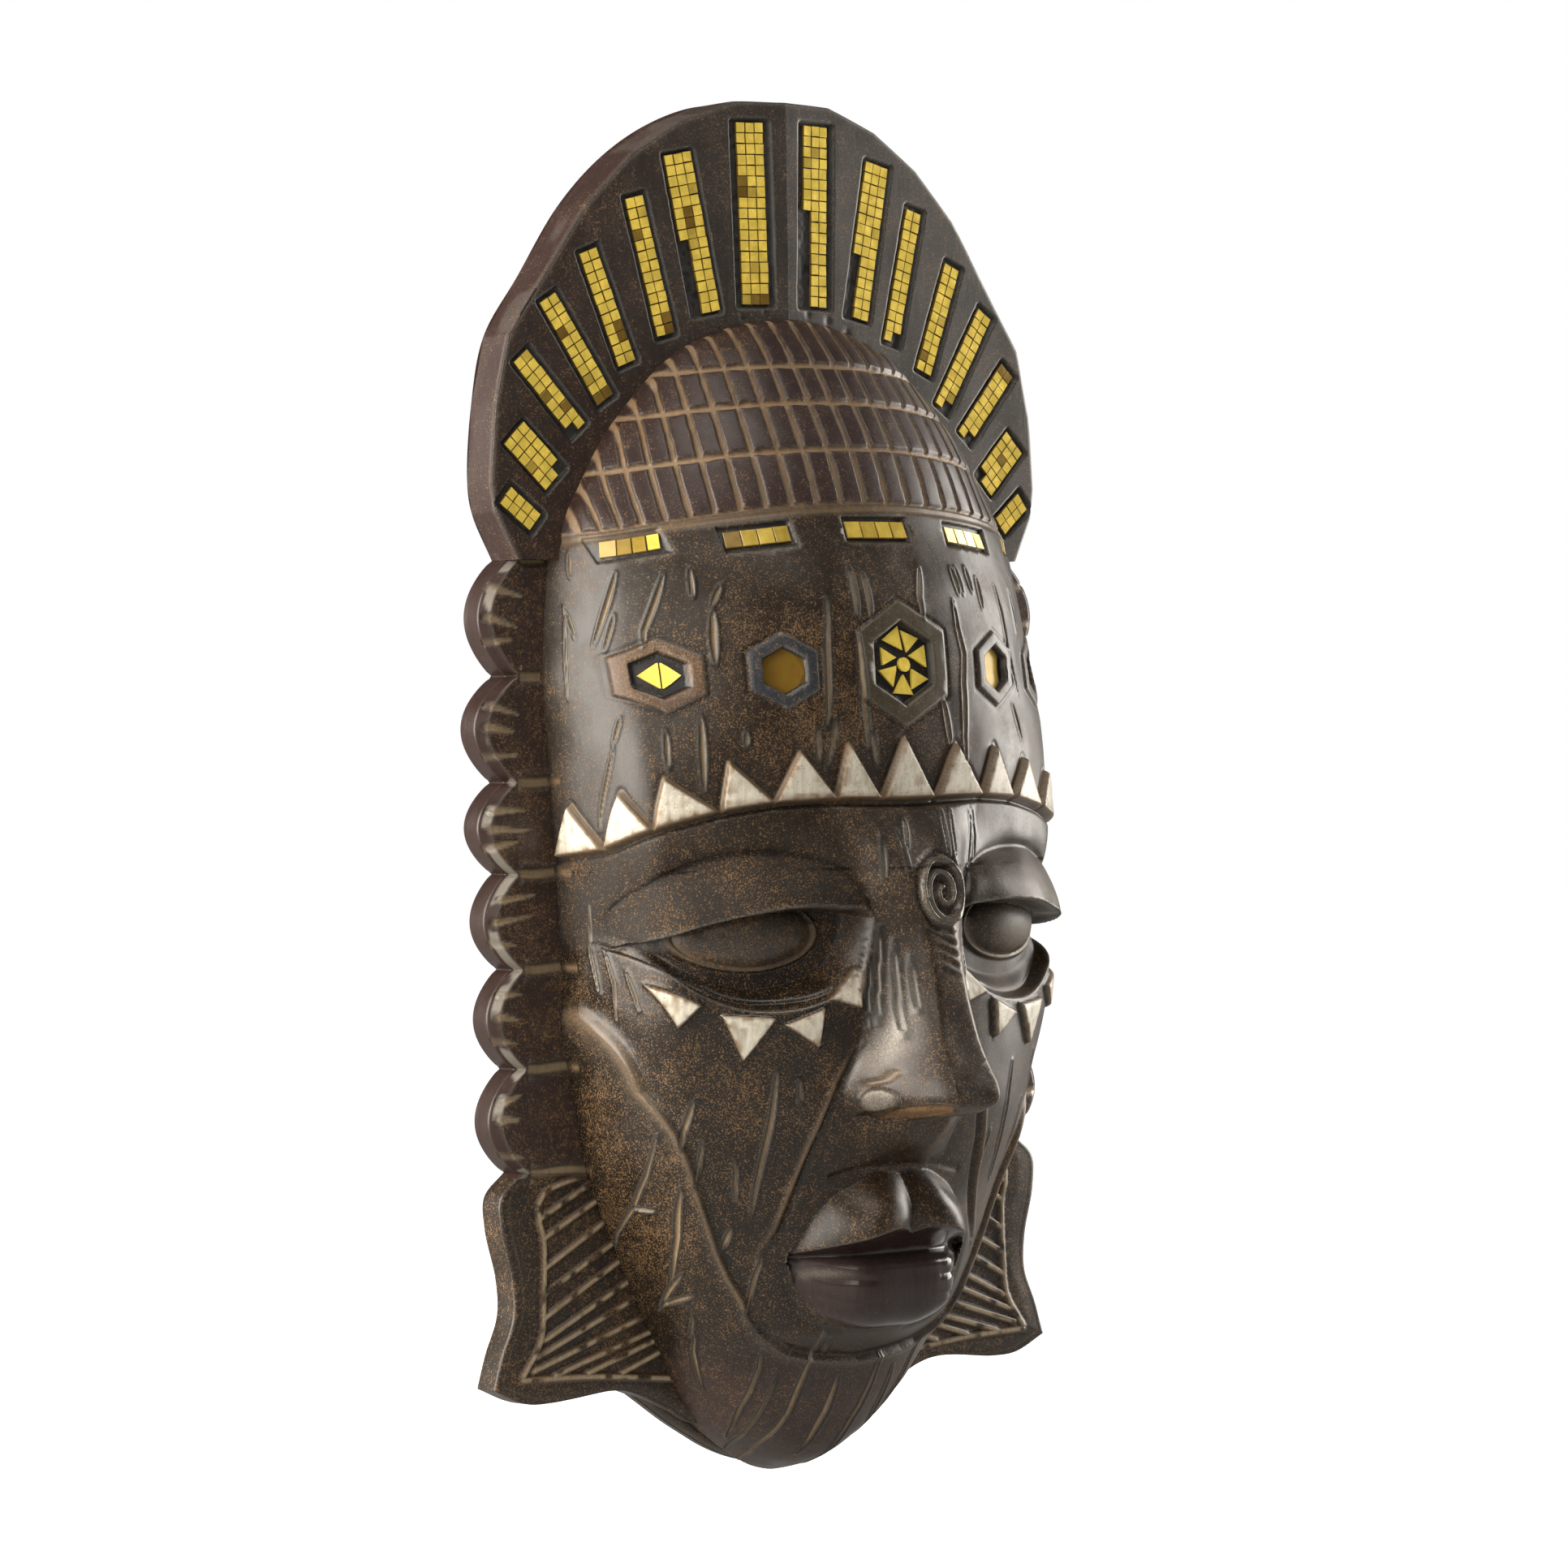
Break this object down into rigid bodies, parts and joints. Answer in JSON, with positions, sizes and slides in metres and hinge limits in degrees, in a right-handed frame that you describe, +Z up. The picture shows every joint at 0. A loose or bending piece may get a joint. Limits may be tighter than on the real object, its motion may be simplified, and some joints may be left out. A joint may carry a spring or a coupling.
{
  "type": "wall mask",
  "caption": "Carved and painted wooden wall mask of a stylised face with a fanned crown, scalloped sides, and gold mirror tiles let into the crown and forehead; hollow back, hangs on a wall.",
  "frame": {"origin": "hanging point on the flat back of the crown, on the mask's middle plane, 625 mm above the base line under the chin", "axes": "+Z up, +Y into the wall, so the face looks along -Y"},
  "size_m": [0.3596, 0.1755, 0.691],
  "materials": {
    "carved_wood": "carved wood with a dark umber and graphite patina, semi-gloss, tan paint left in the cuts",
    "crown_mirror_tiles": "small gold mirror tiles set in dark grey grout",
    "forehead_mirror_tiles": "gold mirror tiles, some dark amber",
    "gem_mirror": "hexagonal gold mirror",
    "inlay_mirror": "cut pieces of gold mirror"
  },
  "bodies": {
    "root": {"mask_body": "carved_wood", "crown_tiles_left_1": "crown_mirror_tiles", "crown_tiles_right_1": "crown_mirror_tiles", "crown_tiles_left_2": "crown_mirror_tiles", "crown_tiles_right_2": "crown_mirror_tiles", "crown_tiles_left_3": "crown_mirror_tiles", "crown_tiles_right_3": "crown_mirror_tiles", "crown_tiles_left_4": "crown_mirror_tiles", "crown_tiles_right_4": "crown_mirror_tiles", "crown_tiles_left_5": "crown_mirror_tiles", "crown_tiles_right_5": "crown_mirror_tiles", "crown_tiles_left_6": "crown_mirror_tiles", "crown_tiles_right_6": "crown_mirror_tiles", "crown_tiles_left_7": "crown_mirror_tiles", "crown_tiles_right_7": "crown_mirror_tiles", "crown_tiles_left_8": "crown_mirror_tiles", "crown_tiles_right_8": "crown_mirror_tiles", "forehead_tiles_far_left": "forehead_mirror_tiles", "forehead_tiles_left": "forehead_mirror_tiles", "forehead_tiles_middle": "forehead_mirror_tiles", "forehead_tiles_right": "forehead_mirror_tiles", "forehead_tiles_far_right": "forehead_mirror_tiles", "wheel_tile_1": "inlay_mirror", "wheel_tile_2": "inlay_mirror", "wheel_tile_3": "inlay_mirror", "wheel_tile_4": "inlay_mirror", "wheel_tile_5": "inlay_mirror", "wheel_tile_6": "inlay_mirror", "wheel_tile_7": "inlay_mirror", "wheel_hub": "inlay_mirror", "gem_left": "gem_mirror", "rhombus_left_outer": "inlay_mirror", "rhombus_left_inner": "inlay_mirror", "gem_right": "gem_mirror", "rhombus_right_outer": "inlay_mirror", "rhombus_right_inner": "inlay_mirror"}
  },
  "joints": []
}
